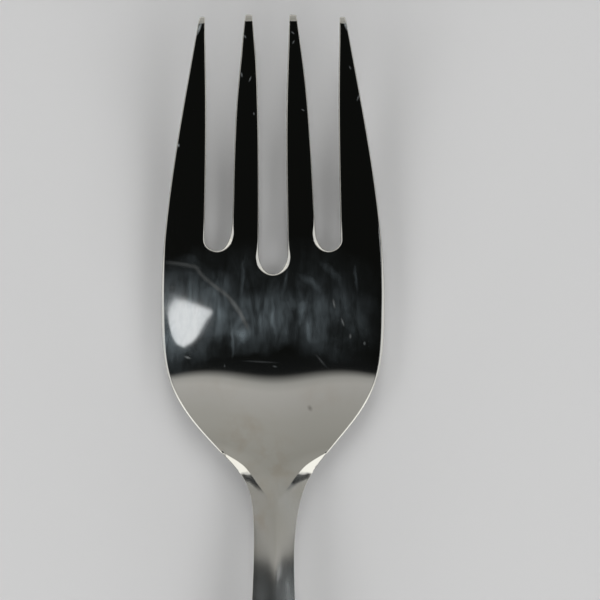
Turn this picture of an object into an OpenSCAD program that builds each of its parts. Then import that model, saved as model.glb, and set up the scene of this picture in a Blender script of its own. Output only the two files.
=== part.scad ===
// Four-tine serving fork with a hollow handle, lying face up on a table.
// X runs across the fork, +Y points to the tine tips, +Z is up.
// The origin is on the table, under the middle of the length and width.
// Places along the fork are distances from the tine tips, and heights of the
// head's face are measured from the inside bottom of the bowl.

/* [Overall] */
// Length from the tine tips to the end of the handle
fork_length = 220; // [205:1:240]

/* [Tine tips] */
// Width across the outer tine tips
tip_span = 24.2; // [22:0.1:27]
// Height of the tips
tip_height = 12.2; // [9:0.1:15]
// How far the outer tips stand above the axis
tip_rise = 0.35; // [0.1:0.05:0.8]
// Thickness of the steel at the tips
tip_thickness = 1.5; // [1.3:0.1:1.9]
// Thickness of the outer edge at the tips
tip_edge = 1.1; // [0.9:0.1:1.3]
// Radius of the arc that the four tips lie on
tip_arc_radius = 160; // [125:1:400]

/* [Tines] */
// Place where the middle of the tines is measured
tine_at = 26; // [22:0.5:30]
// Width across the tines there
tine_span = 34.1; // [31:0.1:36]
// Height of the tines there
tine_height = 3.4; // [2.5:0.1:4.5]
// How far the outer tines stand above the axis there
tine_rise = 1.75; // [1:0.05:2.4]

/* [Slots] */
// Place between the slots' ends where slots and inner tines are measured
slot_middle_at = 12; // [10:0.5:14]
// Place near the slots' round ends where they are measured again
slot_root_at = 36; // [33:0.5:37]
// Length of the middle slot
middle_slot_length = 43.4; // [40:0.1:46]
// Width of the middle slot at the tips
middle_slot_mouth = 5.8; // [5.4:0.05:6.4]
// Width of the middle slot at the middle place
middle_slot_middle = 5; // [4.6:0.05:5.4]
// Width of the middle slot near its end
middle_slot_root = 4.7; // [4.3:0.05:5.1]
// Length of the turn at the middle slot's end
middle_slot_turn = 3.5; // [2.4:0.1:4.2]
// Length of the side slots
side_slot_length = 39.4; // [36:0.1:42]
// Width of a side slot at the tips
side_slot_mouth = 7.2; // [6.7:0.05:7.4]
// Width of a side slot at the middle place
side_slot_middle = 5.3; // [4.9:0.05:5.6]
// Width of a side slot near its end
side_slot_root = 4.75; // [4.4:0.05:5.1]
// Length of the turn on the inner tine's side
inner_turn = 3.6; // [2.4:0.1:4.2]
// Length of the turn on the outer tine's side
outer_turn = 1.7; // [1.4:0.1:3]
// Share of a side slot's width, from the inner tine, at which the slot is longest
side_slot_lean = 0.55; // [0.5:0.01:0.6]
// Width of an inner tine at its tip
inner_tine_tip = 1.15; // [1:0.05:1.5]
// Width of an inner tine at the middle place
inner_tine_middle = 3.35; // [3:0.05:3.6]
// Width of an inner tine at its root
inner_tine_root = 4.5; // [4.1:0.05:4.8]

/* [Bowl] */
// Place of the greatest width, where the bowl is deepest
bowl_at = 53; // [50:0.5:56]
// Greatest width of the bowl
bowl_width = 37.9; // [36:0.1:40]
// Depth of the dish there, from the rim to the bottom
bowl_depth = 3.6; // [2.5:0.1:4.5]
// Thickness of the steel in the bowl
bowl_thickness = 2; // [1.7:0.1:2.4]
// Thickness of the bowl's edge
bowl_edge = 1.4; // [1.1:0.1:1.6]
// Width of the rounded land along the rim
rim_land = 0.4; // [0.3:0.05:0.6]
// Drop from the rim to the edge across that land
rim_drop = 0.25; // [0.1:0.05:0.4]
// Bevel along the edges of the back
back_bevel = 0.35; // [0.2:0.05:0.5]

/* [Lower bowl] */
// Place where the lower bowl is measured
lower_bowl_at = 62; // [60:0.5:64]
// Width there
lower_bowl_width = 34.8; // [33:0.1:36]
// Height of the face there
lower_bowl_height = 0.25; // [0.1:0.05:0.5]
// Depth of the dish there
lower_bowl_depth = 3.5; // [2.5:0.1:4]

/* [Flank] */
// Place where the flanks turn in to the neck
flank_at = 68; // [66:0.5:70]
// Width there
flank_width = 28; // [26:0.1:30]
// Height of the face there
flank_height = 1; // [0.7:0.05:1.3]
// Depth of the dish there
flank_depth = 2.85; // [2.2:0.05:3.3]

/* [Shoulders] */
// Place of the shoulders
shoulder_at = 74; // [73:0.5:75]
// Width across the shoulders
shoulder_width = 17.7; // [16:0.1:19]
// Height of the face there
shoulder_height = 2.4; // [2:0.05:2.8]
// Depth of the dish there
shoulder_depth = 1.6; // [1.2:0.05:2]
// Drop from the rim to the edge there
shoulder_drop = 0.5; // [0.35:0.05:0.65]

/* [Throat] */
// Place of the throat, where the facets open out
throat_at = 79; // [78:0.5:80]
// Width of the throat
throat_width = 10.3; // [9.6:0.1:11]
// Height of the face there
throat_height = 4.05; // [3.7:0.05:4.4]
// Depth of the dish there
throat_depth = 0.35; // [0.2:0.05:0.5]
// Thickness of the steel there
throat_thickness = 2.9; // [2.5:0.1:3.2]
// Drop of the facets there
throat_drop = 0.8; // [0.65:0.05:0.95]
// Place of the point in which the dish ends
dish_end_at = 82; // [81:0.5:83]
// Angle between the two sides of that point
dish_end_angle = 90; // [80:1:96]

/* [Neck] */
// Place where the facets reach the neck
facet_at = 84; // [83.5:0.5:86]
// Width there
facet_width = 7.6; // [7.2:0.1:8.4]
// Height of the ridge there
facet_height = 5.7; // [5.3:0.05:6.2]
// Place where the neck is narrowest
neck_at = 92; // [90:0.5:94]
// Width of the neck there
neck_width = 6.85; // [6.4:0.05:7.4]
// Height of the ridge there
neck_height = 7.8; // [7.4:0.05:8.3]
// Thickness of the neck at the ridge
neck_thickness = 3.7; // [3.4:0.1:4]
// Thickness of the neck's edges
neck_edge = 1.9; // [1.6:0.1:2.1]
// Drop of the facets from the ridge to the edge
neck_drop = 1.1; // [0.9:0.05:1.3]
// Width of the rounded crown that breaks the ridge
crown_width = 0.5; // [0.3:0.05:0.7]
// How far the crown falls away at its sides
crown_drop = 0.06; // [0.04:0.01:0.1]
// Place of the neck's highest point
crest_at = 100; // [98:0.5:102]
// Width of the neck there
crest_width = 7.35; // [7:0.05:7.7]
// Height of the ridge there
crest_height = 8.4; // [7.8:0.05:9]
// Width of the neck at its hidden end
root_width = 7.6; // [7.2:0.1:8]
// Height of the ridge at the hidden end
root_height = 8.1; // [7.7:0.05:8.6]
// Thickness of the neck at the hidden end
root_thickness = 4; // [3.7:0.1:4.3]

/* [Collar] */
// Place of the collar's front face
collar_at = 104; // [103:0.5:106]
// Length of the collar that shows
collar_length = 3.5; // [2.5:0.1:5]
// How far the collar stands out round the handle
collar_proud = 0.5; // [0.3:0.05:0.8]
// Length of the rounding at each end of the collar
collar_round = 0.6; // [0.4:0.05:0.9]
// Length of the spigot that locates the shells
spigot_length = 1.5; // [1:0.1:2.5]
// Gap that the solder fills between two pieces
solder_gap = 0.06; // [0.03:0.01:0.12]

/* [Tang] */
// Length of the neck's stub behind the spigot
stub_length = 1; // [0.5:0.1:2]
// Length of the tang behind the stub
tang_length = 58; // [40:1:70]
// Width of the tang at the neck
tang_width = 5; // [4:0.1:5.4]
// Width of the tang at its tip
tang_tip_width = 3; // [2:0.1:4]
// Thickness of the tang
tang_thickness = 2.4; // [1.8:0.1:2.8]
// Distance between the notches that key the tang
notch_pitch = 14; // [12:0.5:16]
// Number of notches along each edge
notch_count = 3; // [1:1:3]
// Radius of a notch
notch_radius = 0.8; // [0.5:0.1:1]

/* [Handle] */
// How far the handle's mouth stands out round the neck
mouth_margin = 1.9; // [1.8:0.1:2.4]
// Distance from the mouth to the slim part of the handle
shank_from_mouth = 30; // [20:1:40]
// Width of the slim part
shank_width = 12.6; // [11.8:0.1:14]
// Distance from the end to the widest part
grip_from_end = 22; // [16:0.5:28]
// Greatest width of the handle
grip_width = 19; // [17:0.1:22]
// Greatest thickness of the handle
grip_thickness = 8.4; // [7.8:0.1:10]
// Length over which the end is rounded
end_round = 18; // [12:0.5:22]
// Share of a flat-sided roof in the front, against a plain oval
ridge_share = 0.45; // [0:0.05:0.7]
// Thickness of the shells
shell_wall = 0.7; // [0.5:0.05:0.9]
// Thickness of metal at the closed end
end_wall = 2.5; // [2:0.1:4]

/* [Hidden] */

STEEL = [0.55, 0.55, 0.53];
CEMENT = [0.74, 0.72, 0.67];

// Parts across the section: shares of the half-width along the dish and along the back
DISH_SHARES = [0, 0.25, 0.5, 0.75, 1];
BACK_SHARES = [0.8, 0.5, 0.2];
// Rings in each stretch of the head and the handle
TINE_RINGS = 16;
BOWL_RINGS = 12;
THROAT_RINGS = 10;
NECK_RINGS = 10;
HANDLE_RINGS = 16;
END_RINGS = 5;
// Sides along a slot's wall and along each of its turns
WALL_SIDES = 7;
TURN_SIDES = 6;
// Even sides along the front keep the ridge, odd ones along the back leave a flat to rest on
FRONT_SIDES = 14;
BACK_SIDES = 13;
// Angle at which the rounded end stops in a small flat
END_ANGLE = 80;
// How far a cutting shape runs past what it cuts
OVERRUN = 1;
ROUND_FACETS = 48;

tip_y = fork_length / 2;
handle_at = collar_at + collar_length;
spigot_end = handle_at + spigot_length;
neck_end = spigot_end + stub_length;
round_at = fork_length - end_round;

// Natural cubic spline through [place, value] points: each point gains its second derivative
function sweep_down(p, i = 1, rows = [[0, 0]]) =
    i == len(p) - 1 ? rows :
    let (
        before = p[i][0] - p[i - 1][0],
        after = p[i + 1][0] - p[i][0],
        turn = (p[i + 1][1] - p[i][1]) / after - (p[i][1] - p[i - 1][1]) / before,
        pivot = 2 * (before + after) - before * rows[i - 1][0],
        row = [after / pivot, (6 * turn - before * rows[i - 1][1]) / pivot]
    )
    sweep_down(p, i + 1, concat(rows, [row]));

function sweep_up(rows, i, bends = [0]) =
    i == 0 ? concat([0], bends) :
    sweep_up(rows, i - 1, concat([rows[i][1] - rows[i][0] * bends[0]], bends));

function curve(p) =
    let (bends = sweep_up(sweep_down(p), len(p) - 2))
    [for (i = [0 : len(p) - 1]) [p[i][0], p[i][1], bends[i]]];

// Value of such a curve at a place
function value(c, t) =
    let (
        i = max([for (k = [0 : len(c) - 2]) if (k == 0 || c[k][0] <= t) k]),
        step = c[i + 1][0] - c[i][0],
        b = (t - c[i][0]) / step,
        a = 1 - b
    )
    a * c[i][1] + b * c[i + 1][1]
        + ((a * a * a - a) * c[i][2] + (b * b * b - b) * c[i + 1][2]) * step * step / 6;

// Places spread evenly from one place up to, but not including, the next
function spread(from, to, count) = [for (i = [0 : count - 1]) from + (to - from) * i / count];

// The head's curves along its length
width_curve = curve([
    [0, tip_span], [tine_at, tine_span], [bowl_at, bowl_width], [lower_bowl_at, lower_bowl_width],
    [flank_at, flank_width], [shoulder_at, shoulder_width], [throat_at, throat_width],
    [facet_at, facet_width], [neck_at, neck_width], [crest_at, crest_width], [neck_end, root_width]
]);
height_curve = curve([
    [0, tip_height], [tine_at, tine_height], [bowl_at, 0], [lower_bowl_at, lower_bowl_height],
    [flank_at, flank_height], [shoulder_at, shoulder_height], [throat_at, throat_height],
    [facet_at, facet_height], [neck_at, neck_height], [crest_at, crest_height], [neck_end, root_height]
]);
depth_curve = curve([
    [0, tip_rise], [tine_at, tine_rise], [bowl_at, bowl_depth], [lower_bowl_at, lower_bowl_depth],
    [flank_at, flank_depth], [shoulder_at, shoulder_depth], [throat_at, throat_depth],
    [dish_end_at, -crown_drop]
]);
drop_curve = curve([
    [0, rim_drop], [bowl_at, rim_drop], [lower_bowl_at, rim_drop], [shoulder_at, shoulder_drop],
    [throat_at, throat_drop], [neck_at, neck_drop], [neck_end, neck_drop]
]);
thickness_curve = curve([
    [0, tip_thickness], [bowl_at, bowl_thickness], [throat_at, throat_thickness],
    [neck_at, neck_thickness], [neck_end, root_thickness]
]);
edge_curve = curve([[0, tip_edge], [bowl_at, bowl_edge], [neck_at, neck_edge], [neck_end, neck_edge]]);

middle_wall = curve([
    [0, middle_slot_mouth / 2], [slot_middle_at, middle_slot_middle / 2], [slot_root_at, middle_slot_root / 2]
]);
inner_wall = curve([
    [0, middle_slot_mouth / 2 + inner_tine_tip],
    [slot_middle_at, middle_slot_middle / 2 + inner_tine_middle],
    [slot_root_at, middle_slot_root / 2 + inner_tine_root]
]);
outer_wall = curve([
    [0, middle_slot_mouth / 2 + inner_tine_tip + side_slot_mouth],
    [slot_middle_at, middle_slot_middle / 2 + inner_tine_middle + side_slot_middle],
    [slot_root_at, middle_slot_root / 2 + inner_tine_root + side_slot_root]
]);

head_places = concat(
    spread(0, bowl_at, TINE_RINGS),
    spread(bowl_at, shoulder_at, BOWL_RINGS),
    spread(shoulder_at, dish_end_at, THROAT_RINGS),
    spread(dish_end_at, neck_end, NECK_RINGS),
    [neck_end]
);

// The head is lifted until the back of its bowl just touches the table
bowl_lift = max([for (t = head_places) value(thickness_curve, t) - value(height_curve, t)]);

function half_width(t) = value(width_curve, t) / 2;

// Depth of the dish below its rim, and past its point the fall of the ridge's crown
function dish_depth(t) = t < dish_end_at ? value(depth_curve, t) : -crown_drop;

// Half-width of the dish: to the rim's land, then along the sides of its point, then the ridge's crown
function dish_half_width(t) =
    max(crown_width / 2, min(half_width(t) - rim_land, (dish_end_at - t) * tan(dish_end_angle / 2)));

// Section of the head, from the middle of the face round by the right edge to the back and up the left
function head_ring(t, grow = 0) =
    let (
        half = half_width(t) + grow,
        dish = dish_half_width(t),
        face = bowl_lift + value(height_curve, t) + grow,
        edge_top = face + dish_depth(t) - value(drop_curve, t),
        edge_low = edge_top - value(edge_curve, t) - 2 * grow,
        back = face - value(thickness_curve, t) - 2 * grow,
        right = concat(
            [for (s = DISH_SHARES) [dish * s, face + dish_depth(t) * s * s]],
            [[half, edge_top], [half, edge_low + back_bevel], [half - back_bevel, edge_low]],
            [for (s = BACK_SHARES) [half * s, back + (edge_low - back) * s * s]]
        ),
        left = [for (i = [len(right) - 1 : -1 : 1]) [-right[i][0], right[i][1]]]
    )
    [for (p = concat(right, left)) [p[0], tip_y - t, p[1]]];

// The handle's curves along its length
mouth_half_height = root_thickness / 2 + mouth_margin;
mouth_height = bowl_lift + root_height - root_thickness / 2;
handle_width_curve = curve([
    [handle_at, root_width + 2 * mouth_margin], [handle_at + shank_from_mouth, shank_width],
    [fork_length - grip_from_end, grip_width], [fork_length, grip_width]
]);
handle_height_curve = curve([
    [handle_at, mouth_half_height], [fork_length - grip_from_end, grip_thickness / 2],
    [fork_length, grip_thickness / 2]
]);

handle_places = concat(
    [handle_at],
    spread(spigot_end, round_at, HANDLE_RINGS),
    [for (i = [0 : END_RINGS]) round_at + end_round * sin(END_ANGLE * i / END_RINGS) / sin(END_ANGLE)]
);
cavity_end = fork_length - end_wall;

// Share of the full section that is left on the rounded end
function end_taper(t) = t <= round_at ? 1 : cos(asin((t - round_at) / end_round * sin(END_ANGLE)));

function handle_half_height(t) = value(handle_height_curve, t) * end_taper(t);

// The straight handle slopes down from its mouth until its back touches the table
handle_slope = max([
    for (t = handle_places) if (t > handle_at) (handle_half_height(t) - mouth_height) / (t - handle_at)
]);

function seam_height(t) = mouth_height + handle_slope * (t - handle_at);

front_angles = [for (i = [FRONT_SIDES : -1 : 0]) 180 * i / FRONT_SIDES];
back_angles = [for (i = [0 : BACK_SIDES]) 360 - 180 * i / BACK_SIDES];
inner_back_angles = [for (i = [1 : BACK_SIDES - 1]) back_angles[i]];
all_angles = concat(front_angles, inner_back_angles);

// Section of the handle: a ridged front above the seam and a plain oval back below it
function handle_ring(t, angles, grow = 0) =
    let (
        half = value(handle_width_curve, t) / 2 * end_taper(t) + grow,
        high = handle_half_height(t) + grow
    )
    [for (a = angles)
        let (front = ridge_share * (1 - abs(cos(a))) + (1 - ridge_share) * sin(a))
        [half * cos(a), tip_y - t, seam_height(t) + high * (a <= 180 ? front : sin(a))]];

// Closed skin over a row of rings that have as many points each
module skin(rings) {
    count = len(rings[0]);
    last = len(rings) - 1;
    points = [for (ring = rings) each ring];
    sides = [
        for (i = [0 : last - 1], j = [0 : count - 1])
        let (k = (j + 1) % count, near = i * count, far = near + count)
        each [[near + j, near + k, far + k], [near + j, far + k, far + j]]
    ];
    start = [for (j = [count - 1 : -1 : 0]) j];
    end = [for (j = [0 : count - 1]) last * count + j];
    polyhedron(points, concat(sides, [start, end]));
}

// One side of a slot, seen from above: along its wall from before the tips,
// then a quarter of an oval to the slot's end
function slot_side(wall, end_x, turned, length) =
    let (turn_at = length - turned, edge = value(wall, turn_at))
    concat(
        [for (i = [0 : WALL_SIDES])
            let (t = -OVERRUN + (turn_at + OVERRUN) * i / WALL_SIDES)
            [value(wall, t), tip_y - t]],
        [for (i = [1 : TURN_SIDES])
            let (a = 90 * i / TURN_SIDES)
            [end_x + (edge - end_x) * cos(a), tip_y - turn_at - turned * sin(a)]]
    );

// Slot between two such sides, which meet at its end
module slot(first, second) {
    polygon(concat(first, [for (i = [len(second) - 2 : -1 : 0]) second[i]]));
}

module slots() {
    middle = slot_side(middle_wall, 0, middle_slot_turn, middle_slot_length);
    slot([for (p = middle) [-p[0], p[1]]], middle);
    end_x = value(inner_wall, slot_root_at) + side_slot_lean * side_slot_root;
    for (flip = [0, 1])
        mirror([flip, 0])
            slot(
                slot_side(inner_wall, end_x, inner_turn, side_slot_length),
                slot_side(outer_wall, end_x, outer_turn, side_slot_length)
            );
}

// Flat tang with notches in its edges, along the middle of the handle
module tang() {
    from_neck = tang_width / 2;
    at_tip = tang_tip_width / 2;
    translate([0, tip_y - neck_end, seam_height(neck_end) - tang_thickness / 2])
        rotate([-atan(handle_slope), 0, 0])
            linear_extrude(tang_thickness)
                difference() {
                    polygon([
                        [-from_neck, stub_length], [-from_neck, 0], [-at_tip, -tang_length],
                        [at_tip, -tang_length], [from_neck, 0], [from_neck, stub_length]
                    ]);
                    for (i = [1 : notch_count], side = [-1, 1]) {
                        along = i * notch_pitch;
                        edge = from_neck + (at_tip - from_neck) * along / tang_length;
                        translate([side * edge, -along]) circle(notch_radius, $fn = ROUND_FACETS);
                    }
                }
}

module neck_skin(grow) {
    skin([for (t = head_places) if (t >= dish_end_at) head_ring(t, grow)]);
}

module cavity(from) {
    places = concat([from], [for (t = handle_places) if (t > from && t < cavity_end) t], [cavity_end]);
    skin([for (t = places) handle_ring(t, all_angles, -shell_wall)]);
}

module fork_head() {
    clear = tip_height + bowl_lift + tip_rise + OVERRUN;
    color(STEEL) {
        difference() {
            intersection() {
                skin([for (t = head_places) head_ring(t)]);
                translate([0, tip_y - tip_arc_radius, -OVERRUN])
                    cylinder(h = clear + OVERRUN, r = tip_arc_radius, $fn = 4 * ROUND_FACETS);
            }
            translate([0, 0, -OVERRUN]) linear_extrude(clear + OVERRUN) slots();
        }
        tang();
    }
}

module mouth_collar() {
    bead = [
        [collar_at, 0],
        [collar_at + collar_round, collar_proud],
        [handle_at - collar_round, collar_proud],
        [handle_at, 0]
    ];
    spigot = -shell_wall - solder_gap;
    color(STEEL)
        difference() {
            union() {
                skin([for (b = bead) handle_ring(b[0], all_angles, b[1])]);
                skin([for (t = [handle_at - OVERRUN, spigot_end]) handle_ring(t, all_angles, spigot)]);
            }
            neck_skin(solder_gap);
        }
}

module handle_front_shell() {
    color(STEEL)
        difference() {
            skin([for (t = handle_places) handle_ring(t, front_angles)]);
            cavity(handle_at - OVERRUN);
        }
}

module handle_back_shell() {
    color(STEEL)
        difference() {
            skin([for (t = handle_places) handle_ring(t, back_angles)]);
            cavity(handle_at - OVERRUN);
        }
}

module handle_filler() {
    color(CEMENT)
        difference() {
            cavity(spigot_end);
            neck_skin(0);
            tang();
        }
}

fork_head();
mouth_collar();
handle_front_shell();
handle_back_shell();
handle_filler();
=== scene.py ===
"""Looks of a hollow-handled serving fork, laid out as a small Blender add-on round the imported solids."""

import math
from functools import partial

import bpy
import numpy as np
from bpy.props import FloatProperty, FloatVectorProperty, PointerProperty, StringProperty
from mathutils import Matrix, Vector
from mathutils.geometry import delaunay_2d_cdt


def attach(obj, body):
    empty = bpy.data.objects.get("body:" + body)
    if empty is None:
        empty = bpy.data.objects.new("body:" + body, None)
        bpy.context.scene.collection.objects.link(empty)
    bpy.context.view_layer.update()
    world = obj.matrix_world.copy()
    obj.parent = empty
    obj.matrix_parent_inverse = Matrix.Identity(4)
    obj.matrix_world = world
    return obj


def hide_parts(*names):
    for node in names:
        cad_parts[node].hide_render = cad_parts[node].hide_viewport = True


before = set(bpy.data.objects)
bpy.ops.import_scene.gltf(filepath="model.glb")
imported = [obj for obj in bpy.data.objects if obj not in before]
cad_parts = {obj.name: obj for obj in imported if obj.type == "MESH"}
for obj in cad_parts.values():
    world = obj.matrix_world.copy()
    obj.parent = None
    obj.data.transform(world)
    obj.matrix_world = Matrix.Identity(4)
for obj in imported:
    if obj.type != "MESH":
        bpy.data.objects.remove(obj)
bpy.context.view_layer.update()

bl_info = {
    "name": "Serving fork",
    "version": (1, 0, 0),
    "blender": (4, 5, 0),
    "location": "View3D > Sidebar > Fork",
    "description": "Builds the polished look of a hollow-handled serving fork",
    "category": "Object",
}

MM = 0.001
FORK_LENGTH = 220 * MM
TIP_Y = FORK_LENGTH / 2


def mm(*values):
    """Lengths in millimetres as a tuple in metres."""
    return tuple(value * MM for value in values)


def srgb(text):
    """An sRGB hex colour as linear RGBA."""
    parts = [int(text[i : i + 2], 16) / 255 for i in (1, 3, 5)]
    linear = [c / 12.92 if c <= 0.04045 else ((c + 0.055) / 1.055) ** 2.4 for c in parts]
    return (*linear, 1.0)


def length(name, description, value):
    """Property of one length, given in millimetres."""
    return FloatProperty(name=name, description=description, default=value * MM, unit="LENGTH")


def lengths(name, description, *values):
    """Property of a row of lengths, given in millimetres."""
    return FloatVectorProperty(
        name=name, description=description, default=mm(*values), size=len(values), unit="LENGTH",
    )


def tip_distances(name, measured, *values):
    """Property of the distances from the tips at which something is measured, given in millimetres."""
    return lengths(f"{name} places", f"Distances from the tips at which to measure {measured}", *values)


def finish_color(name, description, value):
    """Property of a colour, given as sRGB hex."""
    return StringProperty(name=name, description=description, default=value)


class HeadSizes(bpy.types.PropertyGroup):
    """Sizes of the fork head, measured at places counted from the tine tips."""

    places: tip_distances("Head", "the head", 0, 26, 53, 62, 68, 74, 79, 84, 92, 100, 110)
    widths: lengths(
        "Widths", "Width of the head at each place",
        24.2, 34.1, 37.9, 34.8, 28, 17.7, 10.3, 7.6, 6.85, 7.35, 7.6,
    )
    heights: lengths(
        "Heights", "Height of the face above the inside bottom of the bowl at each place",
        12.2, 3.4, 0, 0.25, 1, 2.4, 4.05, 5.72, 7.8, 8.42, 8.1,
    )
    dish_places: tip_distances("Dish", "the dish", 0, 26, 53, 62, 68, 74, 79)
    dish_depths: lengths(
        "Dish depths", "Depth of the dish below its rim at each dish place",
        0.35, 1.75, 3.6, 3.5, 2.85, 1.6, 0.35,
    )
    dish_end: length("Dish end", "Place of the point in which the dish ends", 84)
    point_places: tip_distances(
        "Point", "the point in which the dish ends",
        72.5, 74.4, 75.2, 76.1, 77, 78, 79, 80.2, 81.4, 82.6, 84,
    )
    point_halves: lengths(
        "Point half-widths", "Half-width of that point at each point place",
        11.2, 7.65, 6.35, 5.15, 4.35, 3.55, 2.85, 1.95, 1.05, 0.35, 0,
    )
    facet_places: tip_distances(
        "Facet", "the facets", 70, 74.5, 76, 77.3, 77.8, 78.4, 79, 79.8, 80.6, 82, 84, 88, 92, 110,
    )
    facet_slopes: FloatVectorProperty(
        name="Facet slopes", description="Fall of the facets for each length outwards at each facet place",
        size=14, default=(0.4, 0.39, 0.51, 0.66, 0.58, 0.46, 0.34, 0.21, 0.13, 0.11, 0.16, 0.3, 0.35, 0.37),
    )
    axis_places: tip_distances("Axis", "the axis", 0, 30, 50, 60, 67, 72, 75, 78, 82, 88, 98, 110)
    axis_shifts: lengths(
        "Axis shifts", "Sidestep of the hand-forged neck from the middle plane at each axis place",
        0, 0, 0, 0, 0.02, 0.13, 0.34, 0.56, 0.52, 0.27, 0.14, 0,
    )
    ridge_places: tip_distances(
        "Ridge", "the ridge line", 0, 30, 50, 60, 67, 72, 75, 77, 79, 82, 86, 92, 98, 110,
    )
    ridge_shifts: lengths(
        "Ridge shifts", "Sidestep of the ridge and of the dish's point at each ridge place",
        0, 0, 0, 0, 0.05, 0.2, 0.3, 0.25, 0.2, 0.35, 0.5, 0.5, 0.27, 0,
    )
    thickness_places: tip_distances("Thickness", "the steel's thickness", 0, 53, 79, 92, 110)
    thicknesses: lengths("Thicknesses", "Thickness of the steel along the axis", 1.5, 2, 2.9, 3.7, 4)
    edges: lengths(
        "Edges", "Thickness of the steel along the outer edge, before its rounding",
        1.35, 1.65, 1.75, 1.9, 1.9,
    )
    tip_cap: length("Tip cap", "Length of the bevelled cap at each tip", 1.2)
    tip_cap_slope: FloatProperty(
        name="Tip cap slope", description="Fall of the cap for each length towards the tip",
        default=0.3,
    )
    tip_arc: length("Tip arc", "Radius of the arc that the four tips lie on", 160)
    slot_lengths: lengths("Slot lengths", "Lengths of the middle slot and of the side slots", 43.4, 39.4)
    slot_places: tip_distances("Slot", "slots and inner tines", 0, 12, 36)
    middle_slot: lengths("Middle slot", "Width of the middle slot at each slot place", 5.8, 5, 4.7)
    inner_tine: lengths("Inner tine", "Width of an inner tine at each slot place", 1.15, 3.35, 4.5)
    side_slot: lengths("Side slot", "Width of a side slot at each slot place", 7.2, 5.3, 4.75)
    slot_turns: lengths(
        "Slot turns", "Lengths of the turns: middle slot, side slots' inner side and outer side",
        3.5, 3.6, 1.7,
    )
    slot_shift: length("Slot sidestep", "Sidestep of the hand-ground slots from the middle plane", -0.06)
    bend_places: tip_distances("Bend", "the inner tines' bends", 0, 4, 7, 11, 14, 20, 26, 31, 34, 38)
    left_bend: lengths(
        "Left bend", "Sidestep of the left inner tine at each bend place",
        -0.42, -0.28, -0.1, 0, 0.03, 0.1, 0.08, 0.04, -0.05, -0.42,
    )
    right_bend: lengths(
        "Right bend", "Sidestep of the right inner tine's outer side at each bend place",
        0, -0.05, -0.08, -0.12, -0.16, -0.12, 0.04, 0.22, 0.36, 0.5,
    )


class HandleSizes(bpy.types.PropertyGroup):
    """Sizes of the collar and of the hollow handle."""

    collar_at: length("Collar place", "Distance from the tips to the collar's front face", 104)
    collar_length: length("Collar length", "Length of the collar that shows", 3.5)
    collar_proud: length("Collar proud", "How far the collar stands out round the handle", 0.5)
    spigot: length("Spigot", "Length of the spigot that locates the shells", 1.5)
    widths: lengths(
        "Widths", "Widths at the mouth, at the slim part and at the widest part",
        11.4, 12.6, 19,
    )
    thicknesses: lengths("Thicknesses", "Thicknesses at the mouth and at the widest part", 7.8, 8.4)
    shank_from_mouth: length("Slim part", "Distance from the mouth to the slim part", 30)
    grip_from_end: length("Widest part", "Distance from the end to the widest part", 22)
    end_round: length("End rounding", "Length over which the end is rounded", 18)
    ridge_share: FloatProperty(
        name="Ridge", description="Share of a flat-sided roof in the front, against a plain oval",
        default=0.45, subtype="FACTOR", min=0, max=1,
    )
    wall: length("Wall", "Thickness of the shells", 0.7)
    end_wall: length("End wall", "Thickness of metal at the closed end", 2.5)


class FinishColors(bpy.types.PropertyGroup):
    """Colours of the finishes, as sRGB hex."""

    steel: finish_color("Steel", "Buffed stainless steel", "#C5C4BF")
    stain: finish_color("Stain", "Faint brown bloom on the steel, as left by use", "#AE9C85")
    pit: finish_color("Pit", "Dark floor of a pit in the steel", "#6A655E")
    # The film's blue tint is also a painted bluish glow, and the smear colour is also that of painted
    # highlights
    film_and_glow: finish_color("Film", "Thin film left by wiping", "#A0AEB5")
    smear_and_highlight: finish_color("Smear", "Thicker smears and bare scratches", "#AEB4B5")
    cement: finish_color("Cement", "Cement in the handle", "#BDB8AA")
    sand: finish_color("Sand", "Darker grain of that cement", "#9C9686")
    ground: finish_color("Ground", "Pale ground under the fork", "#CBCBCB")


class ForkSettings(bpy.types.PropertyGroup):
    """Everything that a user would change."""

    head: PointerProperty(name="Head", description="Sizes of the fork head", type=HeadSizes)
    handle: PointerProperty(name="Handle", description="Sizes of collar and handle", type=HandleSizes)
    colors: PointerProperty(name="Colors", description="Colours of the finishes", type=FinishColors)


class Curve:
    """Natural cubic spline through values measured at a row of places."""

    def __init__(self, places, values):
        self.places = np.array(places)
        self.values = np.array(values)
        count = len(places)
        step = np.diff(self.places)
        turn = np.diff(np.diff(self.values) / step)
        system = np.eye(count)
        right = np.zeros(count)
        for i in range(1, count - 1):
            system[i, i - 1 : i + 2] = step[i - 1], 2 * (step[i - 1] + step[i]), step[i]
            right[i] = 6 * turn[i - 1]
        self.bends = np.linalg.solve(system, right)

    def __call__(self, place):
        place = np.asarray(place, float)
        i = np.clip(np.searchsorted(self.places, place, side="right") - 1, 0, len(self.places) - 2)
        step = self.places[i + 1] - self.places[i]
        b = (place - self.places[i]) / step
        a = 1 - b
        straight = a * self.values[i] + b * self.values[i + 1]
        bend = (a**3 - a) * self.bends[i] + (b**3 - b) * self.bends[i + 1]
        return straight + bend * step**2 / 6


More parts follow.
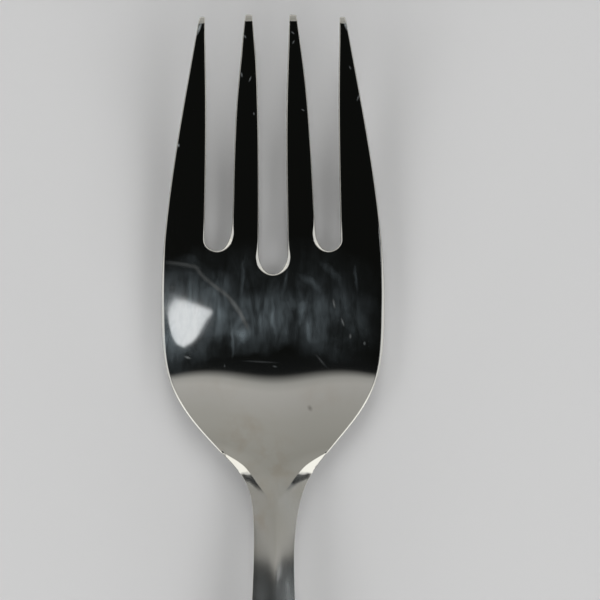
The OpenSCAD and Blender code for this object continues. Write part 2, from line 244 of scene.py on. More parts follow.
class HeadShape:
    """Faces and outline of the fork head as functions of x and of the distance t from the tips."""

    SAMPLES = 400
    CREASE_ROUND = 0.01 * MM
    RIDGE_PLACES = mm(0, 70, 85, 92, 98, 110)
    RIDGE_ROUNDS = mm(0.12, 0.12, 0.14, 0.35, 0.45, 0.45)
    # How fast the V in which the dish ends opens before the first place where it is measured
    POINT_OPENING = 3
    # Margins from the edge, the tips and the slots' ends within which a point of the outline is a slot's
    EDGE_MARGIN = 0.8 * MM
    TIP_MARGIN = 0.9 * MM
    SLOT_END_MARGIN = 1 * MM
    # Walls nearer to the axis than these are the middle slot's, and the inner sides of the side slots
    MIDDLE_SLOT_REACH = 4 * MM
    INNER_SIDE_REACH = 9.3 * MM
    # Rim of the slots by the distance from their ends: widths of both sides, share of bevel on the inner
    # side, and how much of that the outer side has
    SLOT_STEPS = mm(0, 0.7, 1.6, 3, 4.5, 6)
    INNER_RIMS = mm(0.22, 0.44, 0.66, 0.56, 0.4, 0.34)
    OUTER_RIMS = mm(0.24, 0.26, 0.3, 0.32, 0.32, 0.32)
    SLOT_BEVELS = (0.12, 0.6, 0.8, 0.75, 0.3, 0)
    OUTER_BEVEL = 0.5
    # Towards the tips that rim narrows to this width, by this much for each length
    TIP_RIM = 0.2 * MM
    RIM_GROWTH = 0.025
    # Rim of the head's outer edge by the distance from the tips: width and share of bevel
    EDGE_PLACES = mm(0, 10, 38, 44, 50, 55, 60, 66, 72, 80)
    EDGE_RIMS = mm(0.2, 0.36, 0.42, 0.52, 0.6, 0.55, 0.42, 0.26, 0.2, 0.04)
    EDGE_BEVELS = (0, 0, 0.1, 0.6, 0.78, 0.75, 0.6, 0.85, 0.85, 0.85)
    # Shares of the inner and the outer wall in the place where a side slot ends
    SLOT_END_SHARES = (0.45, 0.55)
    # Share of the inner tines' bends that a wall takes, by its x
    BEND_ACROSS = mm(-9.4, -6.9, -2.9, -2.4, 0, 2.4, 6.9, 9.4)
    BEND_SHARES = (0, 1, 1, 0.2, 0, 0.4, 1, 0)
    # The slots' sidestep fades out towards the head's edge with this power
    SHIFT_FADE = 8

    def __init__(self, sizes):
        self.sizes = sizes
        self.end = sizes.places[-1]
        self.width = Curve(sizes.places, sizes.widths)
        self.height = Curve(sizes.places, sizes.heights)
        self.thickness = Curve(sizes.thickness_places, sizes.thicknesses)
        self.edge = Curve(sizes.thickness_places, sizes.edges)
        self.facet = Curve(sizes.facet_places, sizes.facet_slopes)
        self.axis = Curve(sizes.axis_places, sizes.axis_shifts)
        self.ridge = Curve(sizes.ridge_places, sizes.ridge_shifts)
        self.dish_point = Curve(sizes.point_places, sizes.point_halves)
        dish_places = np.array(sizes.dish_places)
        reach = np.minimum(self.half(dish_places), self.point(dish_places))
        self.curl = Curve(dish_places, np.array(sizes.dish_depths) / reach**2)
        sample = np.linspace(0, self.end, self.SAMPLES)
        self.lift = np.max(self.thickness(sample) - self.height(sample))
        self.ridge_round = Curve(self.RIDGE_PLACES, self.RIDGE_ROUNDS)
        middle = np.array(sizes.middle_slot) / 2
        inner = middle + sizes.inner_tine
        self.middle_wall = Curve(sizes.slot_places, middle)
        self.inner_wall = Curve(sizes.slot_places, inner)
        self.outer_wall = Curve(sizes.slot_places, inner + sizes.side_slot)

    def half(self, t):
        return self.width(t) / 2

    def point(self, t):
        """Half-width of the V in which the dish ends, and more than the head's half-width before the V."""
        places = self.sizes.point_places
        before = np.maximum(places[0] - t, 0) * self.POINT_OPENING
        return np.maximum(self.dish_point(np.clip(t, places[0], places[-1])) + before, 0)

    def face(self, t):
        return self.lift + self.height(t)

    def slotted(self, t):
        """Whether a place lies in front of the ends of the slots."""
        return t < self.sizes.slot_lengths[0] + self.SLOT_END_MARGIN

    def rim(self, x, t):
        """Width in plan of the rounded rim at points of the outline, and its share of bevel."""
        s = self.sizes
        x = np.abs(x)
        in_slot = (x < self.half(t) - self.EDGE_MARGIN) & (t > self.TIP_MARGIN) & self.slotted(t)
        to_end = np.where(x < self.MIDDLE_SLOT_REACH, s.slot_lengths[0], s.slot_lengths[1]) - t
        inner = x < self.INNER_SIDE_REACH
        inner_width = np.interp(to_end, self.SLOT_STEPS, self.INNER_RIMS)
        outer_width = np.interp(to_end, self.SLOT_STEPS, self.OUTER_RIMS)
        slot_width = np.where(inner, inner_width, outer_width)
        slot_width = np.minimum(slot_width, self.TIP_RIM + self.RIM_GROWTH * t)
        slot_bevel = np.interp(to_end, self.SLOT_STEPS, self.SLOT_BEVELS)
        slot_bevel = slot_bevel * np.where(inner, 1, self.OUTER_BEVEL)
        edge_width = np.interp(t, self.EDGE_PLACES, self.EDGE_RIMS)
        edge_bevel = np.interp(t, self.EDGE_PLACES, self.EDGE_BEVELS)
        return np.where(in_slot, slot_width, edge_width), np.where(in_slot, slot_bevel, edge_bevel)

    def top(self, x, t):
        """Height of the face, with the caps at the tips."""
        x = x - self.ridge(t)
        from_tip = t - self.tip(x)
        cap = self.body(x, self.tip(x) + self.sizes.tip_cap)
        cap = cap + self.sizes.tip_cap_slope * (from_tip - self.sizes.tip_cap)
        return self.lower(self.body(x, t), cap)

    def lower(self, first, second):
        """The lower of two heights, with a small rounding where they meet."""
        share = np.clip(0.5 + 0.5 * (second - first) / self.CREASE_ROUND, 0, 1)
        return second + (first - second) * share - self.CREASE_ROUND * share * (1 - share)

    def body(self, x, t):
        """Height of the face behind the caps: the dish, cut off by two facets that start along its V."""
        curl = self.curl(np.minimum(t, self.sizes.dish_end))
        point = self.point(t)
        facet = self.facet(np.maximum(t, self.sizes.facet_places[0]))
        dish = self.face(t) + curl * x**2
        from_ridge = np.sqrt(x**2 + self.ridge_round(t) ** 2)
        roof = self.face(t) + curl * point**2 - facet * (from_ridge - point)
        return self.lower(dish, roof)

    def back(self, x, t):
        """Height of the back, which is rounded across from the axis to the edge."""
        half = self.half(t)
        low = self.body(half, t) - self.edge(t)
        under = self.face(t) - self.thickness(t)
        return under + (low - under) * ((x - self.axis(t)) / half) ** 2

    def tip(self, x):
        return x**2 / (2 * self.sizes.tip_arc)


def lay(points, height):
    """Points in plan, as x and distance from the tips, at a height in the part's frame."""
    return np.column_stack([points[:, 0], TIP_Y - points[:, 1], height])


def corner(before, at, after, radius, count=6):
    """Arc of a radius in place of the corner of two straight edges."""
    a = (before - at) / np.linalg.norm(before - at)
    b = (after - at) / np.linalg.norm(after - at)
    half = math.acos(float(np.clip(a @ b, -1, 1))) / 2
    middle = (a + b) / np.linalg.norm(a + b)
    centre = at + middle * radius / math.sin(half)
    start = at + a * radius / math.tan(half) - centre
    end = at + b * radius / math.tan(half) - centre
    turn = math.atan2(start[0] * end[1] - start[1] * end[0], float(start @ end))
    arc = []
    for i in range(count + 1):
        angle = turn * i / count
        cos, sin = math.cos(angle), math.sin(angle)
        arc.append(centre + np.array([cos * start[0] - sin * start[1], sin * start[0] + cos * start[1]]))
    return arc


def oval_turn(wall, centre, start, end, spacing, density=1.3):
    """Quarter of an oval from a slot's wall round to the slot's end."""
    count = int(density * math.hypot(wall - centre, end - start) / spacing)
    angles = np.linspace(0, math.pi / 2, count)[1:]
    across = centre + (wall - centre) * np.cos(angles)
    return np.column_stack([across, start + (end - start) * np.sin(angles)])


def head_outline(shape, spacing=0.3 * MM, tip_round=0.3 * MM, clear=1.0 * MM):
    """Outline of the head in plan, as x and distance from the tips, from the neck round by the right."""
    s = shape.sizes
    root = s.slot_places[-1]
    inner_share, outer_share = shape.SLOT_END_SHARES
    side_centre = inner_share * float(shape.inner_wall(root)) + outer_share * float(shape.outer_wall(root))

    def wall(curve, slot_length, turned):
        """Points along a slot's wall, from near the tip to the start of the turn."""
        return [np.array([float(curve(t)), t]) for t in np.arange(clear, slot_length - turned, spacing)]

    def tine_tip(outer, inner, corners):
        """Square-cut tip with rounded corners, between the edges' points next to it."""
        first, second = (np.array([x, shape.tip(x)]) for x in corners)
        return corner(outer, first, second, tip_round) + corner(first, second, inner, tip_round)

    edges = (shape.half, shape.outer_wall, shape.inner_wall, shape.middle_wall)
    tips = [float(edge(0)) for edge in edges]
    half = float(shape.half(shape.end))
    neck_round = 2 * tip_round
    neck_end = np.array([0, shape.end])
    right = [neck_end]
    right += corner(neck_end, np.array([half, shape.end]), np.array([half, 0]), neck_round)
    for t in np.arange(shape.end - 2 * neck_round, clear, -spacing):
        right.append(np.array([float(shape.half(t)), t]))
    outer = wall(shape.outer_wall, s.slot_lengths[1], s.slot_turns[2])
    inner = wall(shape.inner_wall, s.slot_lengths[1], s.slot_turns[1])
    middle = wall(shape.middle_wall, s.slot_lengths[0], s.slot_turns[0])
    right += tine_tip(right[-1], outer[0], tips[:2]) + outer
    right += list(oval_turn(outer[-1][0], side_centre, outer[-1][1], s.slot_lengths[1], spacing))
    right += list(oval_turn(inner[-1][0], side_centre, inner[-1][1], s.slot_lengths[1], spacing))[-2::-1]
    right += inner[::-1] + tine_tip(inner[0], middle[0], tips[2:]) + middle
    right += list(oval_turn(middle[-1][0], 0, middle[-1][1], s.slot_lengths[0], spacing))
    right = np.array(right)
    right[-1, 0] = 0
    left = right[-2:0:-1] * (-1, 1)
    outline = np.vstack([right, left])
    x, t = outline.T
    left_bend = np.interp(t, s.bend_places, s.left_bend)
    right_bend = np.interp(t, s.bend_places, s.right_bend)
    bend = np.where(x < 0, left_bend, right_bend) * np.interp(x, shape.BEND_ACROSS, shape.BEND_SHARES)
    aside = s.slot_shift * (1 - (x / shape.half(t)) ** shape.SHIFT_FADE) + bend
    outline[:, 0] = x + np.where(shape.slotted(t), aside, shape.axis(t))
    return outline


def inward(loop):
    """Unit normals of a loop in plan that point into the metal."""
    ahead = np.roll(loop, -1, axis=0) - loop
    behind = loop - np.roll(loop, 1, axis=0)
    ahead /= np.linalg.norm(ahead, axis=1)[:, None]
    behind /= np.linalg.norm(behind, axis=1)[:, None]
    along = ahead + behind
    along /= np.linalg.norm(along, axis=1)[:, None]
    return np.column_stack([along[:, 1], -along[:, 0]])


def inside(loop, points):
    """Which points lie within a loop."""
    result = np.zeros(len(points), bool)
    x, t = points[:, 0], points[:, 1]
    for (x0, t0), (x1, t1) in zip(loop, np.roll(loop, -1, axis=0)):
        if t0 == t1:
            continue
        crosses = (t0 > t) != (t1 > t)
        result ^= crosses & (x < x0 + (t - t0) * (x1 - x0) / (t1 - t0))
    return result


def clear_of(others, points, distance, batch=500):
    """Which points lie at least a distance from all the others."""
    keep = np.ones(len(points), bool)
    for i in range(0, len(points), batch):
        part = points[i : i + batch]
        gap = np.linalg.norm(part[:, None] - others[None], axis=2).min(axis=1)
        keep[i : i + batch] = gap >= distance
    return keep


def plan_faces(loop, line, within):
    """Points, triangles and sharp edges of a flat mesh that fills a loop and follows a line inside it."""
    points = np.vstack([loop, line, within])
    count = len(loop)
    edges = [(i, (i + 1) % count) for i in range(count)]
    first = int(np.argmin(np.linalg.norm(loop - line[0], axis=1)))
    last = int(np.argmin(np.linalg.norm(loop - line[-1], axis=1)))
    path = [first, *range(count, count + len(line)), last]
    sharp = list(zip(path[:-1], path[1:]))
    flat = [Vector((x / MM, (TIP_Y - t) / MM)) for x, t in points]
    found, _, triangles, sources, _, _ = delaunay_2d_cdt(flat, edges + sharp, [], 1, 1e-6)
    if len(found) != len(points):
        raise RuntimeError("the head's outline crosses itself")
    source = [row[0] for row in sources]
    return points, [tuple(source[i] for i in triangle) for triangle in triangles], sharp


def dish_line(shape, spacing=0.25 * MM):
    """The V in which the dish ends, from the left edge by the point to the right edge."""
    s = shape.sizes
    places = np.arange(s.dish_end, s.point_places[0], -spacing)
    half = shape.point(places)
    right = np.column_stack([half, places])[half > spacing]
    line = np.vstack([right[::-1] * (-1, 1), right])
    line[:, 0] += shape.ridge(line[:, 1])
    return line


def ridge_points(shape, spacing=0.4 * MM, aside=0.1 * MM):
    """Points along the ridge and the tips' caps, so that their narrow rounding is drawn."""
    s = shape.sizes
    points = []
    for t in np.arange(s.dish_end + spacing, shape.end, spacing):
        points += [(share * aside, t) for share in (-3, -1, 0, 1, 3)]
    for x in np.arange(-shape.half(0), shape.half(0), spacing / 2):
        cap = float(shape.tip(x)) + s.tip_cap
        points += [(x, cap - aside), (x, cap + aside)]
    points = np.array(points)
    points[:, 0] += shape.ridge(points[:, 1])
    return points


def rim_profile(start, flat, bevel=math.radians(36), least_turn=0.1, steps=4):
    """Rows of inset and drop, as shares of the rim's width: an arc, a flat and an arc to upright."""
    bevel = np.maximum(bevel, start + least_turn)
    radius = (1 - flat) / (1 - np.sin(start))
    stops = [(start + (bevel - start) * i / steps, 0) for i in range(1, steps + 1)]
    # Two rows just inside the flat keep its shading flat
    stops += [(bevel, 0.1 * flat), (bevel, 0.9 * flat)]
    stops += [(bevel + (math.pi / 2 - bevel) * i / steps, flat) for i in range(steps + 1)]
    rows = []
    for angle, gone in stops:
        inset = 1 - radius * (np.sin(angle) - np.sin(start)) - gone
        rows.append((inset, radius * (np.cos(start) - np.cos(angle)) + gone * np.tan(bevel)))
    return rows


# Points of the head's mesh nearer to the rim, or to the V and the ridge, than these shares of its grid
# are left out, so that no sliver is made
LINE_GAP, RIDGE_GAP, RIM_GAP, FIELD_GAP = 0.2, 0.3, 0.6, 0.7
# Least share of flat in a rim, and slope from which a face that rises outwards has a sharp edge
LEAST_FLAT = 0.05
SHARP_RISE = 0.02


def head_mesh(shape, grid=0.5 * MM):
    """Points and faces of the head: face and back over one plan, joined by rounded rims."""
    loop = head_outline(shape)
    into = inward(loop)
    width, flat = shape.rim(loop[:, 0], loop[:, 1])
    rim = loop + into * width[:, None]
    line = dish_line(shape)
    line = line[inside(rim, line) & clear_of(rim, line, LINE_GAP * grid)]
    ridge = ridge_points(shape)
    ridge = ridge[inside(rim, ridge) & clear_of(rim, ridge, RIDGE_GAP * grid)]
    reach = math.ceil(max(shape.sizes.widths) / 2 / grid)
    across = np.arange(-reach, reach + 1) * grid
    down = np.arange(0, shape.end, grid)
    field = np.array([(x, t) for t in down for x in across])
    field = field[inside(rim, field)]
    field = field[clear_of(rim, field, RIM_GAP * grid)]
    field = field[clear_of(np.vstack([line, ridge]), field, FIELD_GAP * grid)]
    plan, triangles, sharp = plan_faces(rim, line, np.vstack([ridge, field]))
    count = len(loop)

    def rim_rows(surface, side):
        """Rows of the rim from a surface to the outline, and where that surface rises outwards."""
        height = surface(rim[:, 0], rim[:, 1])
        fall = side * (height - surface(loop[:, 0], loop[:, 1])) / width
        made = []
        for inset, drop in rim_profile(np.arctan(np.maximum(fall, 0)), np.maximum(flat, LEAST_FLAT)):
            at = loop + into * (width * inset)[:, None]
            made.append(lay(at, height - side * width * drop))
        return made, fall < -SHARP_RISE

    face = lay(plan, shape.top(plan[:, 0], plan[:, 1]))
    back = lay(plan, shape.back(plan[:, 0], plan[:, 1]))
    face_rows, face_rises = rim_rows(shape.top, 1)
    back_rows, _ = rim_rows(shape.back, -1)
    layers = [face, *face_rows, *reversed(back_rows), back]
    starts = np.cumsum([0] + [len(layer) for layer in layers])
    sharp += [(j, (j + 1) % count) for j in np.flatnonzero(face_rises).tolist()]
    faces = list(triangles)
    for a, b in zip(starts[:-2], starts[1:-1]):
        for j in range(count):
            k = (j + 1) % count
            faces.append((a + j, b + j, b + k, a + k))
    last = starts[-2]
    faces += [tuple(last + i for i in reversed(triangle)) for triangle in triangles]
    return np.vstack(layers), faces, sharp


class HandleShape:
    """Sections of the hollow handle as functions of the distance t from the tips."""

    SAMPLES = 400
    END_ANGLE = math.radians(89)
    # Square of the ridge's rounding, as a share of the half-width
    RIDGE_ROUND = 0.0004

    def __init__(self, sizes, head):
        self.sizes = sizes
        self.mouth = sizes.collar_at + sizes.collar_length
        self.spigot_end = self.mouth + sizes.spigot
        self.round_at = FORK_LENGTH - sizes.end_round
        self.cavity_end = FORK_LENGTH - sizes.end_wall
        grip = FORK_LENGTH - sizes.grip_from_end
        places = [self.mouth, self.mouth + sizes.shank_from_mouth, grip, FORK_LENGTH]
        self.width = Curve(places, [*sizes.widths, sizes.widths[-1]])
        thicknesses = [*sizes.thicknesses, sizes.thicknesses[-1]]
        self.thickness = Curve([self.mouth, grip, FORK_LENGTH], thicknesses)
        self.mouth_height = float(head.face(head.end) - head.thickness(head.end) / 2)
        # The seam falls so far that the handle's back touches the table at one place
        sample = np.linspace(self.mouth + 1 * MM, FORK_LENGTH, self.SAMPLES)
        fall = (self.half_height(sample) - self.mouth_height) / (sample - self.mouth)
        self.slope = float(np.max(fall))

    def taper(self, t):
        share = np.clip((np.asarray(t) - self.round_at) / self.sizes.end_round, 0, 1)
        return np.sqrt(1 - (share * math.sin(self.END_ANGLE)) ** 2)

    def half_width(self, t):
        return self.width(t) / 2 * self.taper(t)

    def half_height(self, t):
        return self.thickness(t) / 2 * self.taper(t)

    def seam(self, t):
        return self.mouth_height + self.slope * (t - self.mouth)

    def section(self, t, angles, grow=0.0):
        """Points of the section at t: a ridged front above the seam and a plain oval back below it."""
        half = float(self.half_width(t)) + grow
        high = float(self.half_height(t)) + grow
        ridge = self.sizes.ridge_share
        flat_sides = 1 - np.sqrt(np.cos(angles) ** 2 + self.RIDGE_ROUND)
        roof = ridge * flat_sides + (1 - ridge) * np.sin(angles)
        rise = np.where(np.sin(angles) >= 0, roof, np.sin(angles))
        return np.column_stack(
            [half * np.cos(angles), np.full(len(angles), TIP_Y - t), self.seam(t) + high * rise]
        )


def grid_faces(rows, columns, start=0, around=False, flip=False):
    """Faces of a grid of points, row by row."""
    faces = []
    for i in range(rows - 1):
        for j in range(columns if around else columns - 1):
            k = (j + 1) % columns
            a, b = start + i * columns, start + (i + 1) * columns
            face = (a + j, a + k, b + k, b + j)
            faces.append(face[::-1] if flip else face)
    return faces


def shell_mesh(shape, front, rows=110, end_rows=40, columns=61):
    """Points and faces of one half of the handle: a stamped shell with a closed, rounded end."""
    s = shape.sizes
    body = np.linspace(shape.mouth, shape.round_at, rows)
    turned = np.linspace(0, shape.END_ANGLE, end_rows)[1:]
    rounded = shape.round_at + s.end_round * np.sin(turned) / math.sin(shape.END_ANGLE)
    places = np.concatenate([body, rounded])
    hollow = places < shape.cavity_end
    closing = (shape.cavity_end + places[~hollow][0]) / 2
    places = np.concatenate([places[hollow], [shape.cavity_end, closing], places[~hollow]])
    open_rows = int(hollow.sum()) + 1
    side = 1 if front else -1
    angles = side * np.linspace(0, math.pi, columns)[::-1]
    outer = [shape.section(t, angles) for t in places]
    inner = []
    for i, t in enumerate(places):
        ring = shape.section(min(t, shape.cavity_end), angles, -s.wall)
        ring[:, 1] = TIP_Y - t
        if i >= open_rows:
            narrowing = float(shape.half_width(t)) / float(shape.half_width(shape.cavity_end))
            ring[:, 0] *= min(1.0, narrowing)
            ring[:, 2] = shape.seam(t)
        inner.append(ring)
    count = len(places)
    points = np.vstack(outer + inner)
    start = count * columns
    faces = grid_faces(count, columns, flip=front)
    faces += grid_faces(count, columns, start, flip=not front)
    for j, flip in ((0, front), (columns - 1, not front)):
        for i in range(count - 1):
            a, b = i * columns + j, (i + 1) * columns + j
            face = (a, b, start + b, start + a)
            faces.append(face[::-1] if flip else face)
    for i, flip in ((0, not front), (count - 1, front)):
        for j in range(columns - 1):
            a = i * columns + j
            face = (a, a + 1, start + a + 1, start + a)
            faces.append(face[::-1] if flip else face)
    return points, faces, []


def collar_mesh(shape, columns=120, steps=8):
    """Points and faces of the collar: a rounded bead, its front plate and the spigot behind it."""
    s = shape.sizes
    angles = np.linspace(0, 2 * math.pi, columns, endpoint=False)
    bead = s.collar_length / 2
    bore, plate_edge = mm(-2.6, -1.2)
    plate_hollow, spigot_gap = mm(0.15, 0.06)
    spigot = -s.wall - spigot_gap
    rings = [(s.collar_at + plate_hollow, bore), (s.collar_at, plate_edge)]
    for i in range(steps + 1):
        angle = math.pi * i / steps
        along = s.collar_at + bead * (1 - math.cos(angle))
        rings.append((along, s.collar_proud * math.sin(angle) ** 0.5))
    rings += [(shape.mouth, spigot), (shape.spigot_end, spigot), (shape.spigot_end, bore)]
    points = []
    for place, grow in rings:
        ring = shape.section(shape.mouth, angles, grow)
        ring[:, 1] = TIP_Y - place
        points.append(ring)
    rows = len(rings)
    points = np.vstack(points)
    faces = grid_faces(rows, columns, around=True)
    for j in range(columns):
        k = (j + 1) % columns
        a = (rows - 1) * columns
        faces.append((a + j, a + k, k, j))
    return points, faces, []


def add_node(tree, kind, inputs=None, **settings):
    """A node with its settings, and its inputs set to values or linked to sockets or to nodes' outputs."""
    made = tree.nodes.new(kind)
    for name, value in settings.items():
        setattr(made, name, value)
    for key, value in (inputs or {}).items():
        if isinstance(value, bpy.types.Node):
            value = next(output for output in value.outputs if output.enabled)
        if isinstance(value, bpy.types.NodeSocket):
            tree.links.new(value, made.inputs[key])
        else:
            made.inputs[key].default_value = value
    return made


def new_material(name):
    """A material with an empty node tree, and the function that adds nodes to it."""
    material = bpy.data.materials.new(name)
    material.use_nodes = True
    material.node_tree.nodes.clear()
    return material, partial(add_node, material.node_tree)


# Marks on the steel: x, distance from the tips, turn in degrees, half length, half width and
# strength, with lengths in millimetres
# Haze left by wiping. The marks round the window's reflection on the left of the bowl are also a painted
# glow round it, and the faint wide ones on the right of the bowl a painted bluish reflection
HAZE_AND_GLOW = (
    (-15.5, 50.5, 0, 10.5, 7.5, 0.44), (-9.0, 50.2, 0, 7.6, 5.0, 0.3), (-5.0, 52.0, 0, 5.5, 4.5, 0.28),
    (-0.5, 51.2, 0, 6.0, 5.5, 0.22), (6.0, 51.4, 0, 7.0, 5.5, 0.2), (9.0, 50.5, 0, 9.0, 9.0, 0.07),
    (12.5, 52.0, 0, 7.0, 7.0, 0.11), (0.0, 45.5, 0, 9.0, 20.0, 0.06), (-17.6, 53.0, 0, 5.5, 3.0, 0.3),
    (-14.0, 56.5, 0, 2.5, 6.0, 0.12),
)
# Film on the neck, which also paints the right facets lighter than the left as a painted sheen, and pales
# the dark reflections under the shoulders
NECK_FILM_AND_SHEEN = (
    (-1.9, 98.0, 0, 7.0, 3.0, 0.4), (2.8, 98.5, 0, 7.5, 3.2, 0.85), (2.4, 82.5, 20, 5.5, 2.2, 0.4),
    (-3.4, 78.6, 20, 2.2, 1.6, 0.15), (4.6, 78.2, -40, 2.2, 1.6, 0.22),
)
STREAKS = (
    (-2.2, 50.8, 3, 3.4, 0.6, 0.18), (0.35, 51.1, 5, 3.8, 0.45, 0.24), (4.9, 50.0, -10, 3.0, 0.7, 0.18),
    (6.3, 53.2, 6, 2.8, 0.6, 0.18), (7.7, 51.0, 0, 4.2, 1.0, 0.08), (11.8, 45.8, 8, 4.2, 0.35, 0.03),
    (-7.1, 54.4, 4, 3.4, 0.45, 0.18), (-9.5, 53.2, -6, 3.0, 0.9, 0.14), (-5.2, 44.3, -6, 4.0, 0.4, 0.1),
    (2.1, 44.6, -10, 3.0, 0.4, 0.08), (-5.0, 53.4, 80, 1.8, 1.3, 0.24), (9.8, 42.6, 55, 2.6, 0.8, 0.07),
    (6.3, 44.6, 50, 3.0, 0.7, 0.08), (14.2, 44.0, 0, 2.6, 0.4, 0.1), (-11.9, 46.6, 12, 2.6, 0.6, 0.04),
)
# Scratches and specks of dust; the two long marks at the outer tines' tips are painted highlights along
# their rounded outer edges
SCRATCHES_AND_HIGHLIGHTS = (
    (10.4, 48.4, 12, 0.9, 0.22, 0.5), (11.9, 51.6, 20, 0.9, 0.22, 0.55), (13.2, 54.0, 0, 0.5, 0.25, 0.5),
    (15.6, 55.2, 0, 0.4, 0.25, 0.5), (-6.5, 48.9, 36, 2.2, 0.5, 0.22), (-14.6, 57.6, 70, 0.7, 0.25, 0.9),
    (-2.2, 58.4, 87, 3.6, 0.2, 0.2), (8.2, 58.2, 40, 1.7, 0.25, 0.22), (0.3, 59.2, 80, 0.5, 0.2, 0.4),
    (-8.3, 59.1, 0, 0.3, 0.2, 0.4), (1.2, 98.6, 88, 1.2, 0.25, 0.9), (2.5, 96.0, 4, 2.0, 0.5, 0.35),
    (-12.2, 2.3, -21, 1.5, 0.3, 1.0), (12.2, 1.9, 21, 1.1, 0.25, 0.9), (-4.6, 3.7, 30, 0.4, 0.16, 0.5),
    (-5.2, 9.9, 10, 0.5, 0.16, 0.5), (-3.8, 10.6, -25, 0.6, 0.14, 0.45), (-3.2, 16.3, 5, 0.3, 0.16, 0.4),
    (3.4, 3.1, 50, 0.4, 0.15, 0.4), (3.5, 4.6, -30, 0.4, 0.15, 0.4), (5.1, 15.7, 60, 0.35, 0.14, 0.4),
    (-16.0, 21.6, 10, 0.4, 0.25, 0.9), (13.0, 8.8, 30, 0.4, 0.14, 0.35), (14.4, 13.7, -20, 0.7, 0.16, 0.4),
)
STAINS = (
    (-4.5, 71.5, 0, 7.0, 6.5, 1.0), (0.5, 76.0, 0, 6.5, 5.0, 1.0), (-2.0, 85.0, 0, 7.0, 3.5, 0.8),
    (-9.0, 62.0, 0, 5.0, 6.0, 0.4), (8.0, 63.5, 0, 5.0, 8.0, 0.4),
)
PITS = ((6.3, 66.3, 30, 0.7, 0.5, 0.6),)
# One long wipe across the bowl, as points of x and distance from the tips, its half width and strength
WIPE = (
    (-17.9, 41.4), (-15.4, 41.7), (-13.2, 42.2), (-11.85, 43.9), (-9.9, 45.5), (-7.7, 47.2), (-6.36, 48.8),
    (-5.27, 50.8), (-4.44, 52.4),
)
WIPE_WIDTH = 0.48
WIPE_STRENGTH = 0.15
STREAK_STRENGTH = 1.6
# Roughness of the mirror finish, of the shoulders where it ends and of the worn neck and handle
MIRROR, SHOULDER, WORN = 0.045, 0.24, 0.2
# Distances from the tips between which the finish changes to the shoulders' and then to the worn one
SHOULDER_FROM, SHOULDER_TO = mm(76.8, 78.2)
WORN_FROM, WORN_TO = mm(82, 92)
# The lines of a cloth are finer than a pixel, so they are drawn this wide and long to show
LINE_WIDTH, LINE_LENGTH = mm(2.2, 9)
# Patches in which a damp cloth dries, and how far they push the marks aside across and along
PATCH_SIZE = 5 * MM
WANDER = mm(2.5, 4, 0)
# Unevenness of hand buffing, drawn shallow and wide, and spots of a stain
BUFFING_WAVE, BUFFING_DEPTH = mm(14, 0.003)
STAIN_SPOT = 2.6 * MM
# Share of light that the thickest film takes from the mirror, and how soon a smear has its own colour;
# the painted glow, sheen and highlights are drawn in the same film layer
FILM_AND_GLOW_COVER = 0.4
SMEAR_AND_HIGHLIGHT_GAIN = 12.0
# Clouds of a pour, and sand of the cement with the height at which it stands out
CEMENT_CLOUD = 6 * MM
SAND_SIZE, SAND_HEIGHT = mm(0.5, 0.08)


def trail(path, width, strength):
    """Marks along a path, each as long as two steps so that neighbours fade into each other."""
    rows = []
    for (x0, t0), (x1, t1) in zip(path, path[1:]):
        turn = math.degrees(math.atan2(x1 - x0, t1 - t0))
        rows.append(((x0 + x1) / 2, (t0 + t1) / 2, turn, math.hypot(x1 - x0, t1 - t0), width, strength))
    return tuple(rows)


def marks(add, place, rows):
    """Sum of soft elliptic marks on the steel."""
    total = 0.0
    for x, t, turn, half_length, half_width, strength in rows:
        local = add(
            "ShaderNodeMapping",
            {
                "Vector": place,
                "Location": (x * MM, TIP_Y - t * MM, 0),
                "Rotation": (0, 0, math.radians(turn)),
                "Scale": (half_width * MM, half_length * MM, 1),
            },
            vector_type="TEXTURE",
        )
        spot = add("ShaderNodeTexGradient", {"Vector": local}, gradient_type="SPHERICAL")
        total = add(
            "ShaderNodeMath", {0: spot.outputs["Fac"], 1: strength, 2: total}, operation="MULTIPLY_ADD",
        )
    return total


def steel_roughness(add, place):
    """Roughness along the fork: a mirror up to the shoulders, then duller steel."""
    along = add("ShaderNodeSeparateXYZ", {"Vector": place}).outputs["Y"]
    shoulder = add(
        "ShaderNodeMapRange",
        {
            "Value": along, "From Min": TIP_Y - SHOULDER_FROM, "From Max": TIP_Y - SHOULDER_TO,
            "To Min": MIRROR, "To Max": SHOULDER,
        },
        interpolation_type="SMOOTHSTEP",
    )
    return add(
        "ShaderNodeMapRange",
        {
            "Value": along, "From Min": TIP_Y - WORN_FROM, "From Max": TIP_Y - WORN_TO,
            "To Min": shoulder, "To Max": WORN,
        },
    )


